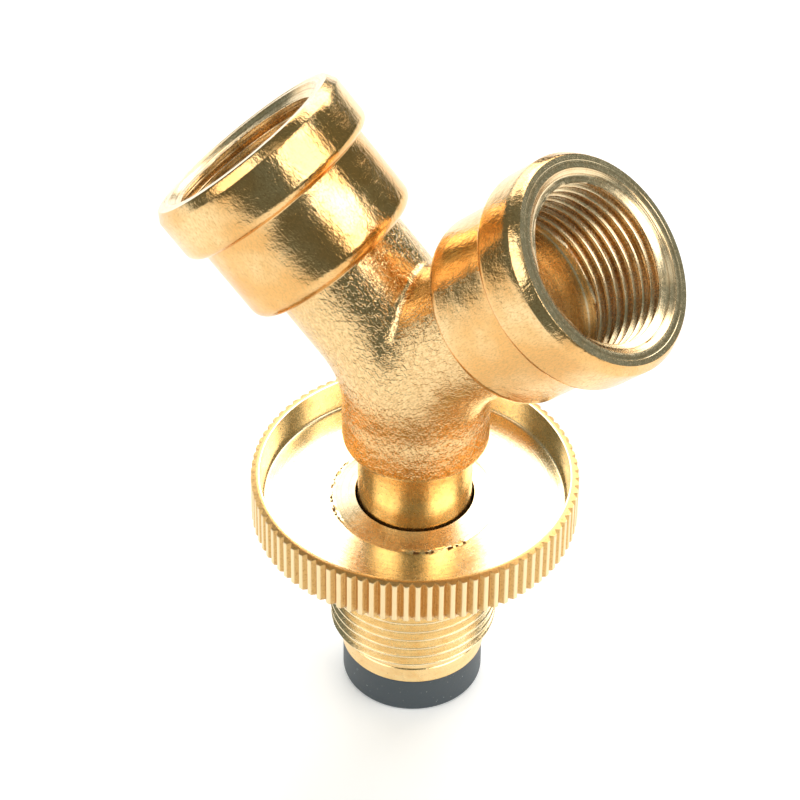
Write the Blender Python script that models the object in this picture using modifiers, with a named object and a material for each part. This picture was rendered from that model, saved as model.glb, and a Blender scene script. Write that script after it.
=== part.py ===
"""Two-way hose splitter: a brass Y body on a turned inlet stem, with a captive hand wheel.

Frame: +Z runs up the inlet stem, the origin is the centre of the rubber nose's bottom face,
and the two outlet arms lean 45 degrees towards -X and +X.
"""
import math

import bmesh
import bpy
from mathutils import Matrix

MM = 0.001
GAP = 0.3

# Thread of the inlet and of both outlets: 3/4 inch pipe thread, 14 threads per inch.
THREAD_PITCH = 25.4 / 14.0
THREAD_MAJOR_R = 26.44 / 2.0
THREAD_MINOR_R = 24.12 / 2.0

# Rubber nose seal.
SEAL_R = 11.2
SEAL_HEIGHT = 6.6
SEAL_EDGE = 0.6
SEAL_LIP_HEIGHT = 1.0

# Inlet stem: nose spigot, thrust flange, plain shank and the spigot screwed into the neck.
FLANGE_R = 11.4
FLANGE_BOTTOM = SEAL_HEIGHT + GAP
FLANGE_TOP = 9.6
NOSE_SPIGOT_R = 6.5
SHANK_R = 8.86
SHANK_TOP = 50.4
TOP_SPIGOT_R = 6.6
TOP_SPIGOT_TOP = 61.0
PASSAGE_R = 4.2

# Thrust washer between the flange and the hand wheel.
WASHER_THICKNESS = 0.7
WASHER_OUTER_R = 11.3
WASHER_INNER_R = 9.3

# Hand wheel: threaded hub, knurled cup.
WHEEL_BOTTOM = FLANGE_TOP + 2 * GAP + WASHER_THICKNESS
WHEEL_RING_TOP = 41.9
WHEEL_RIM_BOTTOM = WHEEL_RING_TOP - 7.6
WHEEL_FLOOR = WHEEL_RING_TOP - 5.15
WHEEL_BOSS_TOP = WHEEL_FLOOR + 0.9
WHEEL_R = 25.55
WHEEL_BORE_R = 9.65
BOSS_R = 12.78
HUB_RELIEF_R = 11.8
HUB_RELIEF_BOTTOM = WHEEL_RIM_BOTTOM - 2.6
KNURL_COUNT = 90
KNURL_DEPTH = 0.7
KNURL_CUTTER_R = 1.2
KNURL_CUTTER_SQUEEZE = 0.8

# Forged Y body.
JUNCTION_Z = WHEEL_RING_TOP + 23.8
ARM_TILT = math.radians(45.0)
NECK_R = 11.35
NECK_BOTTOM = 49.3
NECK_EDGE = 1.2
ARM_TUBE_R = 11.1
BARREL_R = 14.81
BARREL_START = 19.1
COLLAR_R = 17.05
COLLAR_START = 32.6
MOUTH_FACE = 41.7
MOUTH_CHAMFER_LENGTH = 1.45
MOUTH_FACE_OUTER_R = 16.1
MOUTH_FACE_INNER_R = 14.16
BORE_DEPTH = 17.6
THREAD_START = 2.6
RELIEF_LENGTH = 1.9
SOCKET_R = 9.2
SOCKET_TOP = 51.6
SOCKET_THREAD_R = 6.9
SOCKET_THREAD_TOP = 61.4

# Seal washer between the stem's top shoulder and the neck socket.
SEAL_WASHER_INNER_R = 6.95
SEAL_WASHER_OUTER_R = 8.8
SEAL_WASHER_BOTTOM = SHANK_TOP + GAP
SEAL_WASHER_TOP = SOCKET_TOP - GAP

FINE_STEPS = 48
COARSE_STEPS = 32
MERGE_DISTANCE = 0.00001
SHARP_ANGLE = math.radians(28.0)


def clear_scene():
    for old in list(bpy.data.objects):
        bpy.data.objects.remove(old, do_unlink=True)


def make_collection(name):
    collection = bpy.data.collections.new(name)
    bpy.context.scene.collection.children.link(collection)
    return collection


def make_material(name, colour, roughness, metallic):
    material = bpy.data.materials.new(name)
    material.use_nodes = True
    shader = material.node_tree.nodes["Principled BSDF"]
    shader.inputs["Base Color"].default_value = (*colour, 1.0)
    shader.inputs["Roughness"].default_value = roughness
    shader.inputs["Metallic"].default_value = metallic
    return material


def arc(centre_r, centre_z, radius, start_deg, end_deg, count=4):
    """Points of a quarter round or similar, from start to end angle, as (r, z)."""
    points = []
    for index in range(count + 1):
        angle = math.radians(start_deg + (end_deg - start_deg) * index / count)
        points.append((centre_r + radius * math.cos(angle), centre_z + radius * math.sin(angle)))
    return points


def thread_teeth(first_z, last_z, crest_r, root_r):
    """Ring grooves at the thread pitch, running down from first_z to last_z, crest first."""
    points = []
    turns = int((first_z - last_z) / THREAD_PITCH)
    for turn in range(turns):
        top = first_z - turn * THREAD_PITCH
        points.append((crest_r, top))
        points.append((root_r, top - THREAD_PITCH / 2.0))
    points.append((crest_r, first_z - turns * THREAD_PITCH))
    return points


def turned(name, profile, closed, steps, collection):
    """A solid of revolution about local Z from (r, z) points in millimetres.

    An open profile starts and ends on the axis. A closed one runs down the outer side and
    back up the bore.
    """
    mesh = bpy.data.meshes.new(name)
    points = [(r * MM, 0.0, z * MM) for r, z in profile]
    edges = [(i, i + 1) for i in range(len(points) - 1)]
    if closed:
        edges.append((len(points) - 1, 0))
    mesh.from_pydata(points, edges, [])
    solid = bpy.data.objects.new(name, mesh)
    collection.objects.link(solid)
    screw = solid.modifiers.new("turn", "SCREW")
    screw.steps = steps
    screw.render_steps = steps
    screw.use_merge_vertices = True
    screw.merge_threshold = MERGE_DISTANCE
    screw.use_smooth_shade = True
    return solid


def finish(solid, material):
    """Apply the part's modifiers, smooth its round faces and give it its material."""
    bpy.context.view_layer.update()
    evaluated = solid.evaluated_get(bpy.context.evaluated_depsgraph_get())
    mesh = bpy.data.meshes.new_from_object(evaluated)
    solid.modifiers.clear()
    solid.data = mesh
    mesh.name = solid.name
    mesh.shade_smooth()
    mesh.set_sharp_from_angle(angle=SHARP_ANGLE)
    mesh.materials.clear()
    mesh.materials.append(material)
    return solid


def hide_cutter(cutter):
    cutter.hide_render = True
    cutter.display_type = "WIRE"


def boolean(target, tool, operation):
    hide_cutter(tool)
    step = target.modifiers.new(tool.name, "BOOLEAN")
    step.operation = operation
    step.solver = "EXACT"
    step.object = tool


def outlet_side(side, solid):
    """Place a turned piece along the left (-1) or right (+1) arm.

    A quarter facet of turn about the arm keeps the two arms' facets from meeting edge to edge.
    """
    quarter_facet = math.pi / (2.0 * FINE_STEPS)
    solid.location = (0.0, 0.0, JUNCTION_Z * MM)
    solid.rotation_mode = "ZYX"
    solid.rotation_euler = (0.0, side * ARM_TILT, quarter_facet)


def arm_profile():
    chamfer_start = MOUTH_FACE - MOUTH_CHAMFER_LENGTH
    profile = [(0.0, MOUTH_FACE), (MOUTH_FACE_OUTER_R, MOUTH_FACE), (COLLAR_R, chamfer_start)]
    profile += arc(COLLAR_R - 1.5, COLLAR_START + 1.5, 1.5, 0, -80, 3)
    profile.append((BARREL_R, COLLAR_START - 0.1))
    profile += arc(BARREL_R - 2.4, BARREL_START + 2.4, 2.4, 0, -80, 4)
    profile += [(ARM_TUBE_R, BARREL_START - 0.1), (ARM_TUBE_R, -1.0), (0.0, -1.0)]
    return profile


def outlet_bore_profile():
    """Countersink, internal thread, smooth relief, flat floor and the drilled passage."""
    floor = MOUTH_FACE - BORE_DEPTH
    top = MOUTH_FACE + 1.0
    slope = (MOUTH_FACE_INNER_R - THREAD_MINOR_R) / THREAD_START
    profile = [(0.0, top), (MOUTH_FACE_INNER_R + slope, top)]
    thread_top = MOUTH_FACE - THREAD_START
    thread_bottom = floor + RELIEF_LENGTH
    profile += thread_teeth(thread_top, thread_bottom, THREAD_MINOR_R, THREAD_MAJOR_R)
    profile += [(THREAD_MAJOR_R, thread_bottom - 0.4), (THREAD_MAJOR_R, floor), (PASSAGE_R - 0.2, floor)]
    profile += [(PASSAGE_R - 0.2, -1.0), (0.0, -1.0)]
    return profile


def build_y_body(parts, cutters, brass):
    neck_profile = arc(0.0, JUNCTION_Z, NECK_R, 90, 0, 8)
    neck_profile[0] = (0.0, JUNCTION_Z + NECK_R)
    neck_profile += arc(NECK_R - NECK_EDGE, NECK_BOTTOM + NECK_EDGE, NECK_EDGE, 0, -90)
    neck_profile.append((0.0, NECK_BOTTOM))
    body = turned("y_body", neck_profile, False, FINE_STEPS, parts)

    for side, label in ((-1, "left"), (1, "right")):
        arm = turned(f"{label}_arm_form", arm_profile(), False, FINE_STEPS, cutters)
        outlet_side(side, arm)
        boolean(body, arm, "UNION")

    for side, label in ((-1, "left"), (1, "right")):
        bore = turned(f"{label}_outlet_bore", outlet_bore_profile(), False, FINE_STEPS, cutters)
        outlet_side(side, bore)
        boolean(body, bore, "DIFFERENCE")

    socket_profile = [
        (0.0, JUNCTION_Z + 1.0), (PASSAGE_R, JUNCTION_Z + 1.0), (PASSAGE_R, SOCKET_THREAD_TOP),
        (SOCKET_THREAD_R, SOCKET_THREAD_TOP), (SOCKET_THREAD_R, SOCKET_TOP),
        (SOCKET_R, SOCKET_TOP), (SOCKET_R, NECK_BOTTOM - 1.0), (0.0, NECK_BOTTOM - 1.0)]
    socket = turned("neck_socket", socket_profile, False, COARSE_STEPS, cutters)
    boolean(body, socket, "DIFFERENCE")
    return finish(body, brass)


def build_inlet_stem(parts, brass):
    profile = [
        (PASSAGE_R, TOP_SPIGOT_TOP), (TOP_SPIGOT_R - 0.6, TOP_SPIGOT_TOP),
        (TOP_SPIGOT_R, TOP_SPIGOT_TOP - 0.6), (TOP_SPIGOT_R, SHANK_TOP), (SHANK_R, SHANK_TOP),
        (SHANK_R, FLANGE_TOP), (FLANGE_R - 0.3, FLANGE_TOP), (FLANGE_R, FLANGE_TOP - 0.3),
        (FLANGE_R, FLANGE_BOTTOM), (NOSE_SPIGOT_R, FLANGE_BOTTOM),
        (NOSE_SPIGOT_R, SEAL_LIP_HEIGHT + GAP + 0.8),
        (NOSE_SPIGOT_R - 0.8, SEAL_LIP_HEIGHT + GAP), (PASSAGE_R, SEAL_LIP_HEIGHT + GAP)]
    return finish(turned("inlet_stem", profile, True, COARSE_STEPS, parts), brass)


def build_nose_seal(parts, rubber):
    bore_r = NOSE_SPIGOT_R + GAP
    lip_r = PASSAGE_R + 0.4
    profile = [(bore_r, SEAL_HEIGHT), (SEAL_R, SEAL_HEIGHT)]
    profile += arc(SEAL_R - SEAL_EDGE, SEAL_EDGE, SEAL_EDGE, 0, -90, 3)
    profile += [(lip_r, 0.0), (lip_r, SEAL_LIP_HEIGHT), (bore_r, SEAL_LIP_HEIGHT)]
    return finish(turned("nose_seal", profile, True, COARSE_STEPS, parts), rubber)


def build_flat_ring(name, inner_r, outer_r, bottom, top, parts, material):
    profile = [(inner_r, top), (outer_r, top), (outer_r, bottom), (inner_r, bottom)]
    return finish(turned(name, profile, True, COARSE_STEPS, parts), material)


def knurl_cutter(cutters):
    """Upright square cutters around the rim, one corner inwards, as one mesh."""
    mesh = bpy.data.meshes.new("knurl_cutter")
    shape = bmesh.new()
    height = WHEEL_RING_TOP - WHEEL_RIM_BOTTOM + 4.0
    centre_r = WHEEL_R - KNURL_DEPTH + KNURL_CUTTER_R
    middle = (WHEEL_RING_TOP + WHEEL_RIM_BOTTOM) / 2.0
    place = Matrix.Translation((centre_r * MM, 0.0, middle * MM))
    squeeze = Matrix.Diagonal((1.0, KNURL_CUTTER_SQUEEZE, 1.0, 1.0))
    for index in range(KNURL_COUNT):
        around = Matrix.Rotation(2.0 * math.pi * index / KNURL_COUNT, 4, "Z")
        bmesh.ops.create_cone(
            shape, cap_ends=True, segments=4, radius1=KNURL_CUTTER_R * MM,
            radius2=KNURL_CUTTER_R * MM, depth=height * MM, matrix=around @ place @ squeeze)
    shape.to_mesh(mesh)
    shape.free()
    cutter = bpy.data.objects.new("knurl_cutter", mesh)
    cutters.objects.link(cutter)
    return cutter


def build_handwheel(parts, cutters, brass):
    ring_inner_r = 24.1
    ring_outer_r = WHEEL_R - 0.85
    profile = [(ring_inner_r, WHEEL_RING_TOP), (ring_outer_r, WHEEL_RING_TOP)]
    profile += [(WHEEL_R, WHEEL_RING_TOP - 0.3), (WHEEL_R, WHEEL_RIM_BOTTOM + 0.4)]
    profile += [(WHEEL_R - 0.4, WHEEL_RIM_BOTTOM), (HUB_RELIEF_R + 0.6, WHEEL_RIM_BOTTOM)]
    profile += [(HUB_RELIEF_R, WHEEL_RIM_BOTTOM - 0.6), (HUB_RELIEF_R, HUB_RELIEF_BOTTOM)]
    thread_last = WHEEL_BOTTOM + 0.9
    profile += thread_teeth(HUB_RELIEF_BOTTOM - 0.6, thread_last, THREAD_MAJOR_R, THREAD_MINOR_R)
    profile += [(THREAD_MINOR_R - 0.1, WHEEL_BOTTOM), (WHEEL_BORE_R + 0.3, WHEEL_BOTTOM)]
    profile += [(WHEEL_BORE_R, WHEEL_BOTTOM + 0.3), (WHEEL_BORE_R, WHEEL_BOSS_TOP - 0.2)]
    profile += [(WHEEL_BORE_R + 0.2, WHEEL_BOSS_TOP), (BOSS_R - 0.7, WHEEL_BOSS_TOP)]
    profile += [(BOSS_R, WHEEL_FLOOR), (23.1, WHEEL_FLOOR), (23.6, WHEEL_FLOOR + 0.5)]
    wheel = turned("handwheel", profile, True, FINE_STEPS, parts)
    boolean(wheel, knurl_cutter(cutters), "DIFFERENCE")
    return finish(wheel, brass)


def main():
    clear_scene()
    parts = make_collection("hose_splitter")
    cutters = make_collection("cutters")
    forged = make_material("forged_brass", (0.78, 0.55, 0.24), 0.34, 1.0)
    turned_brass = make_material("turned_brass", (0.83, 0.62, 0.30), 0.2, 1.0)
    rubber = make_material("black_rubber", (0.035, 0.038, 0.042), 0.75, 0.0)
    fibre = make_material("fibre_washer", (0.35, 0.12, 0.08), 0.7, 0.0)

    build_y_body(parts, cutters, forged)
    build_inlet_stem(parts, turned_brass)
    build_nose_seal(parts, rubber)
    build_flat_ring("stem_seal_washer", SEAL_WASHER_INNER_R, SEAL_WASHER_OUTER_R,
                    SEAL_WASHER_BOTTOM, SEAL_WASHER_TOP, parts, fibre)
    build_flat_ring("thrust_washer", WASHER_INNER_R, WASHER_OUTER_R, FLANGE_TOP + GAP,
                    FLANGE_TOP + GAP + WASHER_THICKNESS, parts, turned_brass)
    build_handwheel(parts, cutters, turned_brass)


main()
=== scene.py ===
# %% [markdown]
# # A brass hose splitter, piece by piece
# The fitting is a forged Y body on a turned stem, with a knurled hand wheel that carries the
# inlet thread and a rubber nose below it. The CAD frame gives every size and joint. Here each
# piece gets its fine surface: real helical threads, knurling, a blended fork and worn brass.

# %% Load the frame
import math

import bmesh
import bpy
import numpy as np
from mathutils import Matrix, Vector


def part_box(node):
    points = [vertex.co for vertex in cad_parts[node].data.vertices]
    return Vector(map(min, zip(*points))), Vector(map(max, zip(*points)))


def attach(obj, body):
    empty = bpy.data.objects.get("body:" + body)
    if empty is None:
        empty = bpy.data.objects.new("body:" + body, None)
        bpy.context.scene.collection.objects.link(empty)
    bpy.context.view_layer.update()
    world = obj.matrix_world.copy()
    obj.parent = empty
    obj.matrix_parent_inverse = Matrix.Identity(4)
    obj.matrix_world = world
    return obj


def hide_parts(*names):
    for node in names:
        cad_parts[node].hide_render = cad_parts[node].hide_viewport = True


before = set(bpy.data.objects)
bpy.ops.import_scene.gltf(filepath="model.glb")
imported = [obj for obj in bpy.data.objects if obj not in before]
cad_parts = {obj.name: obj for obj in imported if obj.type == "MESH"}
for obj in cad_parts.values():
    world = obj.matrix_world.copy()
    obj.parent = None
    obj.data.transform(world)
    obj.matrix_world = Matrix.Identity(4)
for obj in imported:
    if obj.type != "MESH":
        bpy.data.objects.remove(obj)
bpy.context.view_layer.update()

# %% [markdown]
# ## Sizes
# The frame tells where each node starts and ends. The few sizes below are the ones that a box
# can't tell, such as the thread, and they are the same ones that the solids were made with.

# %% Sizes from the frame and from the thread
MM = 0.001
seal_low, seal_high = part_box("nose_seal")
stem_low, stem_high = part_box("inlet_stem")
wheel_low, wheel_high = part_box("handwheel")
body_low, body_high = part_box("y_body")
thrust_low, thrust_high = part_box("thrust_washer")
fibre_low, fibre_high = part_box("stem_seal_washer")

THREAD_PITCH = 25.4 / 14.0 * MM
THREAD_MAJOR = 13.22 * MM
THREAD_MINOR = 12.06 * MM

ARM_TILT = math.radians(45.0)
MOUTH_FACE = 41.7 * MM
MOUTH_FACE_OUTER = 16.1 * MM
COLLAR_RADIUS = body_high.y
JUNCTION_HEIGHT = body_high.z - MOUTH_FACE * math.cos(ARM_TILT) - MOUTH_FACE_OUTER * math.sin(ARM_TILT)
JUNCTION = np.array([0.0, 0.0, JUNCTION_HEIGHT])
TUBE_RADIUS = 11.1 * MM
BARREL_RADIUS = 14.81 * MM
NECK_RADIUS = 11.35 * MM
print("junction height", round(JUNCTION_HEIGHT / MM, 2), "mm")

# %% [markdown]
# ## Camera
# The camera stands to the front right, half a metre off, and looks down at about 41 degrees.
# A long lens fills the frame from there with only a mild perspective, as a product view has
# it. Aiming with a target is easier to read than three rotation angles.

# %% Camera
CAMERA_PLACE_MM = (172.456, -348.729, 397.509)
CAMERA_TARGET_MM = (-2.216, -1.113, 56.570)
LENS_MM = 152.68
ROLL_DEG = 0.69


def add_camera(place_mm, target_mm, lens, roll_deg):
    """A camera at a place in millimetres that looks at the target, turned about its own view line."""
    place = Vector(place_mm) * MM
    view_line = Vector(target_mm) * MM - place
    turn = view_line.to_track_quat("-Z", "Y").to_matrix().to_4x4()
    data = bpy.data.cameras.new("view")
    data.lens = lens
    data.sensor_width = 36.0
    data.clip_start = 0.02
    camera = bpy.data.objects.new("view", data)
    camera.matrix_world = Matrix.Translation(place) @ turn @ Matrix.Rotation(math.radians(roll_deg), 4, "Z")
    bpy.context.scene.collection.objects.link(camera)
    bpy.context.scene.camera = camera
    print("camera", round(view_line.length / MM), "mm from its target")


add_camera(CAMERA_PLACE_MM, CAMERA_TARGET_MM, LENS_MM, ROLL_DEG)

# %% [markdown]
# ## Light
# Polished brass shows its surroundings, so the light is a ring of large soft boxes with dark
# gaps between them. The gaps make the olive bands and the boxes make the white ones. One big
# light from above would be simpler, but then the metal would look like yellow paint.

# %% Soft boxes
BOX_DISTANCE = 1.1
MIDDLE = Vector((0.0, 0.0, 0.055))


def soft_box(name, azimuth_deg, elevation_deg, width_deg, height_deg, brightness):
    """A rectangular light facing the hose splitter, sized by the angles it fills as seen from there.

    Azimuth runs from -Y to +X. The side is 2 d tan(angle / 2), and the power is pi area brightness.
    """
    a = math.radians(azimuth_deg)
    e = math.radians(elevation_deg)
    towards = Vector((math.sin(a) * math.cos(e), -math.cos(a) * math.cos(e), math.sin(e)))
    data = bpy.data.lights.new(name, "AREA")
    data.shape = "RECTANGLE"
    data.size = 2.0 * BOX_DISTANCE * math.tan(math.radians(width_deg) / 2.0) * math.cos(e)
    data.size_y = 2.0 * BOX_DISTANCE * math.tan(math.radians(height_deg) / 2.0)
    data.energy = math.pi * data.size * data.size_y * brightness
    light = bpy.data.objects.new(name, data)
    light.rotation_mode = "QUATERNION"
    light.rotation_quaternion = (-towards).to_track_quat("-Z", "Y")
    light.location = MIDDLE + BOX_DISTANCE * towards
    light.visible_camera = False
    bpy.context.scene.collection.objects.link(light)
    print(name, round(data.size, 2), "x", round(data.size_y, 2), "m,", round(data.energy, 1), "W")


soft_box("back box", 184.0, 40.0, 70.0, 44.0, 3.4)
soft_box("right box", 86.0, 40.0, 54.0, 30.0, 3.6)
soft_box("front left box", -33.0, 40.0, 50.0, 40.0, 2.3)
soft_box("top box", 27.0, 76.0, 90.0, 20.0, 0.6)
soft_box("left box", -132.0, 25.0, 34.0, 38.0, 2.2)

# %% [markdown]
# ## Surroundings
# Between the boxes the room is dim and a little green, the tint of the metal's dark bands. A
# world colour gives that for nothing, where walls would have to be modelled. The camera itself
# sees white instead, so that the backdrop stays clean.

# %% Surroundings
ROOM = (0.150, 0.180, 0.165)
BACKDROP = (1.0, 1.0, 1.0)


def set_world(room, backdrop):
    """A dim room round the boxes. The camera itself sees a pale backdrop above the floor."""
    world = bpy.data.worlds.new("studio")
    world.use_nodes = True
    tree = world.node_tree
    background = tree.nodes["Background"]
    background.inputs["Color"].default_value = (*room, 1.0)
    pale = tree.nodes.new("ShaderNodeBackground")
    pale.inputs["Color"].default_value = (*backdrop, 1.0)
    ray = tree.nodes.new("ShaderNodeLightPath")
    mix = tree.nodes.new("ShaderNodeMixShader")
    tree.links.new(ray.outputs["Is Camera Ray"], mix.inputs[0])
    tree.links.new(background.outputs[0], mix.inputs[1])
    tree.links.new(pale.outputs[0], mix.inputs[2])
    tree.links.new(mix.outputs[0], tree.nodes["World Output"].inputs["Surface"])
    bpy.context.scene.world = world
    bpy.context.scene.view_settings.view_transform = "Standard"


set_world(ROOM, BACKDROP)

# %% [markdown]
# ## Node materials
# Every finish is worked out from the piece's own coordinates. "Object" coordinates place waves
# and folds in space; the "turning" attribute places rings and streaks along each own axis. A
# painted texture would need unwrapping and would blur close up, where a formula stays sharp.
# The scale of a noise counts its features per metre, so 240 gives one wave every 4 mm.

# %% Shaders and nodes
def new_finish(name, colour, metallic, roughness):
    """A material with its constant values set on the shader itself."""
    material = bpy.data.materials.new(name)
    material.use_nodes = True
    surface = material.node_tree.nodes["Principled BSDF"]
    surface.inputs["Base Color"].default_value = (*colour, 1.0)
    surface.inputs["Metallic"].default_value = metallic
    surface.inputs["Roughness"].default_value = roughness
    return material, material.node_tree, surface


def add_node(tree, kind, inputs=None, **settings):
    """A shader node with its settings, whose inputs take values or other nodes' sockets."""
    node = tree.nodes.new("ShaderNode" + kind)
    for name, value in settings.items():
        setattr(node, name, value)
    for name, value in (inputs or {}).items():
        if isinstance(value, bpy.types.NodeSocket):
            tree.links.new(value, node.inputs[name])
        else:
            node.inputs[name].default_value = value
    return node


# %% Places on a piece
def place_on_piece(tree):
    """The point in the object's own coordinates, in metres."""
    return add_node(tree, "TexCoord").outputs["Object"]


def place_on_axis(tree, stretch):
    """The turning attribute, scaled by three factors so that a noise turns into rings or streaks."""
    place = add_node(tree, "Attribute", attribute_name="turning").outputs["Vector"]
    return add_node(tree, "Mapping", {"Vector": place, "Scale": stretch}).outputs["Vector"]


def distance_from_axis(tree, place):
    """The square root of x x + y y, and z, of a place."""
    parts = add_node(tree, "SeparateXYZ", {"Vector": place})
    flat = add_node(tree, "CombineXYZ", {"X": parts.outputs["X"], "Y": parts.outputs["Y"]})
    radius = add_node(tree, "VectorMath", {0: flat.outputs["Vector"]}, operation="LENGTH")
    return radius.outputs["Value"], parts.outputs["Z"]


# %% Noise, ramps and mixes
def noise(tree, place, scale, detail=2.0, roughness=0.5):
    """A smooth random value from 0 to 1, about one half on average."""
    return add_node(tree, "TexNoise", {"Vector": place, "Scale": scale, "Detail": detail,
                                       "Roughness": roughness}).outputs["Fac"]


def ramp(tree, value, low, high, low_to=0.0, high_to=1.0):
    """value from low..high to low_to..high_to, held at the ends."""
    return add_node(tree, "MapRange", {"Value": value, "From Min": low, "From Max": high,
                                       "To Min": low_to, "To Max": high_to}).outputs["Result"]


def mix_colour(tree, share, first, second):
    """first where the share is zero, second where it is one; each is a colour or an output."""
    node = add_node(tree, "Mix", data_type="RGBA")
    tree.links.new(share, node.inputs[0])
    for socket, colour in ((node.inputs[6], first), (node.inputs[7], second)):
        if isinstance(colour, tuple):
            socket.default_value = (*colour, 1.0)
        else:
            tree.links.new(colour, socket)
    return node.outputs[2]


def product(tree, first, second):
    """first times second."""
    return add_node(tree, "Math", {0: first, 1: second}, operation="MULTIPLY").outputs["Value"]


# %% Relief
def bump(tree, height, depth, before=None, strength=1.0):
    """Relief of a depth in metres on top of the relief that came before."""
    inputs = {"Height": height, "Distance": depth, "Strength": strength}
    if before is not None:
        inputs["Normal"] = before
    return add_node(tree, "Bump", inputs).outputs["Normal"]


# %% [markdown]
# ## Forged brass
# The body was hot forged, blasted and brightened. That leaves soft waves a few millimetres
# long and an orange-peel grain. The fork and the neck are crinkled like foil, with curly folds
# and short scratches along each tube, and the barrels are smoother with warmer, oxidised areas.
# A fold could be modelled, but thousands of them are cheaper as steps in the shader's relief.

# %% Forged brass
FORGED, MACHINED = 0, 1
CREASED_TO = 20.5 * MM
SMOOTH_FROM = 23.5 * MM
BARREL_CREASES = 0.25
CREASE_TARNISH = 0.8
ALONG_TUBE = (1.0, 1.0, 0.4)
GOLD = (0.94, 0.66, 0.33)
WARM_GOLD = (0.85, 0.47, 0.165)
DEEP_GOLD = (0.66, 0.38, 0.14)
TARNISH = (0.50, 0.26, 0.09)


def creases(tree, place, scale, width):
    """Curly folds: a step in height wherever a noise crosses one half, and a line value on the step."""
    step = ramp(tree, noise(tree, place, scale, 2.0, 0.6), 0.5 - width, 0.5 + width)
    line_value = add_node(tree, "Math", {0: step, 1: 0.5}, operation="PINGPONG").outputs["Value"]
    return step, line_value


def make_forged_brass():
    """Gold with warm areas, a deeper grain and dark folds, over waves, folds, scratches and peel."""
    material, tree, surface = new_finish("forged_brass", GOLD, 1.0, 0.16)
    place = place_on_piece(tree)
    offset = add_node(tree, "VectorMath", {0: place, 1: tuple(JUNCTION)}, operation="DISTANCE")
    from_fork = offset.outputs["Value"]
    rough = ramp(tree, from_fork, CREASED_TO, SMOOTH_FROM, 1.0, BARREL_CREASES)
    on_barrel = ramp(tree, from_fork, CREASED_TO, SMOOTH_FROM)
    waves = noise(tree, place, 240.0, 2.0)
    folds, fold_lines = creases(tree, place, 700.0, 0.030)
    scratches, scratch_lines = creases(tree, place_on_axis(tree, ALONG_TUBE), 1700.0, 0.05)
    peel = noise(tree, place, 1500.0, 4.0, 0.7)
    relief = bump(tree, waves, 0.12 * MM)
    relief = bump(tree, folds, 0.035 * MM, relief, rough)
    relief = bump(tree, scratches, 0.030 * MM, relief, rough)
    relief = bump(tree, peel, 0.040 * MM, relief)
    tree.links.new(relief, surface.inputs["Normal"])
    warm = ramp(tree, noise(tree, place, 75.0, 3.0, 0.6), 0.36, 0.56)
    grain = ramp(tree, noise(tree, place_on_axis(tree, ALONG_TUBE), 4600.0, 3.0, 0.75), 0.46, 0.70)
    gold = mix_colour(tree, product(tree, warm, on_barrel), GOLD, WARM_GOLD)
    creased = product(tree, rough, CREASE_TARNISH)
    for share, dark in ((grain, DEEP_GOLD), (product(tree, fold_lines, creased), TARNISH),
                        (product(tree, scratch_lines, creased), TARNISH)):
        gold = mix_colour(tree, share, gold, dark)
    tree.links.new(gold, surface.inputs["Base Color"])
    tree.links.new(ramp(tree, peel, 0.3, 0.7, 0.10, 0.17), surface.inputs["Roughness"])
    return material


forged_brass = make_forged_brass()
print(forged_brass.name, len(forged_brass.node_tree.nodes), "nodes")

# %% [markdown]
# ## Turned brass
# A lathe tool leaves fine rings round the axis. An image of rings would stretch on a cone, so
# the noise is read at (radius, height) of the piece's own axis: it can't change with the angle,
# which makes it rings on a flat face and a cylinder alike.

# %% Turned brass
def tinted(colour, shares):
    """The colour with each channel multiplied by its share."""
    return tuple(channel * share for channel, share in zip(colour, shares))


def make_turned(name, colour, roughness, ring_scale, ring_depth, peel_depth=0.004 * MM, ring_shade=0.2):
    """Brass off the lathe: ring_scale rings a metre from a noise of radius and height, under a peel."""
    material, tree, surface = new_finish(name, colour, 1.0, roughness)
    turning = add_node(tree, "Attribute", attribute_name="turning").outputs["Vector"]
    radius, height = distance_from_axis(tree, turning)
    section = add_node(tree, "CombineXYZ", {"X": radius, "Y": height})
    rings = noise(tree, section.outputs["Vector"], ring_scale, 3.0, 0.6)
    peel = noise(tree, place_on_piece(tree), 1800.0, 3.0, 0.6)
    relief = bump(tree, rings, ring_depth)
    relief = bump(tree, peel, peel_depth, relief)
    tree.links.new(relief, surface.inputs["Normal"])
    stains = ramp(tree, noise(tree, place_on_piece(tree), 420.0, 4.0, 0.6), 0.48, 0.75)
    stained = mix_colour(tree, stains, colour, tinted(colour, (0.93, 0.84, 0.72)))
    ring_lines = product(tree, ramp(tree, rings, 0.50, 0.62), ring_shade)
    shaded = mix_colour(tree, ring_lines, stained, tinted(colour, (0.62, 0.50, 0.38)))
    tree.links.new(shaded, surface.inputs["Base Color"])
    tree.links.new(ramp(tree, peel, 0.3, 0.7, roughness * 0.8, roughness * 1.25), surface.inputs["Roughness"])
    return material


machined_brass = make_turned("machined_brass", (0.96, 0.75, 0.46), 0.24, 2600.0, 0.045 * MM, ring_shade=0.75)
wheel_brass = make_turned("wheel_brass", (0.96, 0.77, 0.47), 0.24, 3000.0, 0.012 * MM, 0.004 * MM)
satin_brass = make_turned("satin_brass", (0.95, 0.68, 0.33), 0.24, 2600.0, 0.010 * MM, 0.022 * MM)
# Dark brown brass: painted shade for the crevice at the burr's foot, not a colour of the metal.
crevice_shade_brass = make_turned("crevice_shade_brass", (0.30, 0.17, 0.07), 0.5, 3000.0, 0.02 * MM, 0.03 * MM)
print("turned finishes", machined_brass.name, wheel_brass.name, satin_brass.name, crevice_shade_brass.name)

# %% [markdown]
# ## Knurled brass
# The knurl is pale on its crests and a deeper brown in its grooves. Painting the two by hand
# would take a mask. Here the distance from the axis says which is which.

# %% Knurled brass
PALE_BRASS = (0.94, 0.72, 0.41)
GROOVE_BRASS = (0.70, 0.43, 0.16)
# The groove colour holds below the first depth under the rim, and the crest colour above the second.
DEEPER_BELOW = 0.16 * MM
PALE_ABOVE = 0.04 * MM


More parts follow.
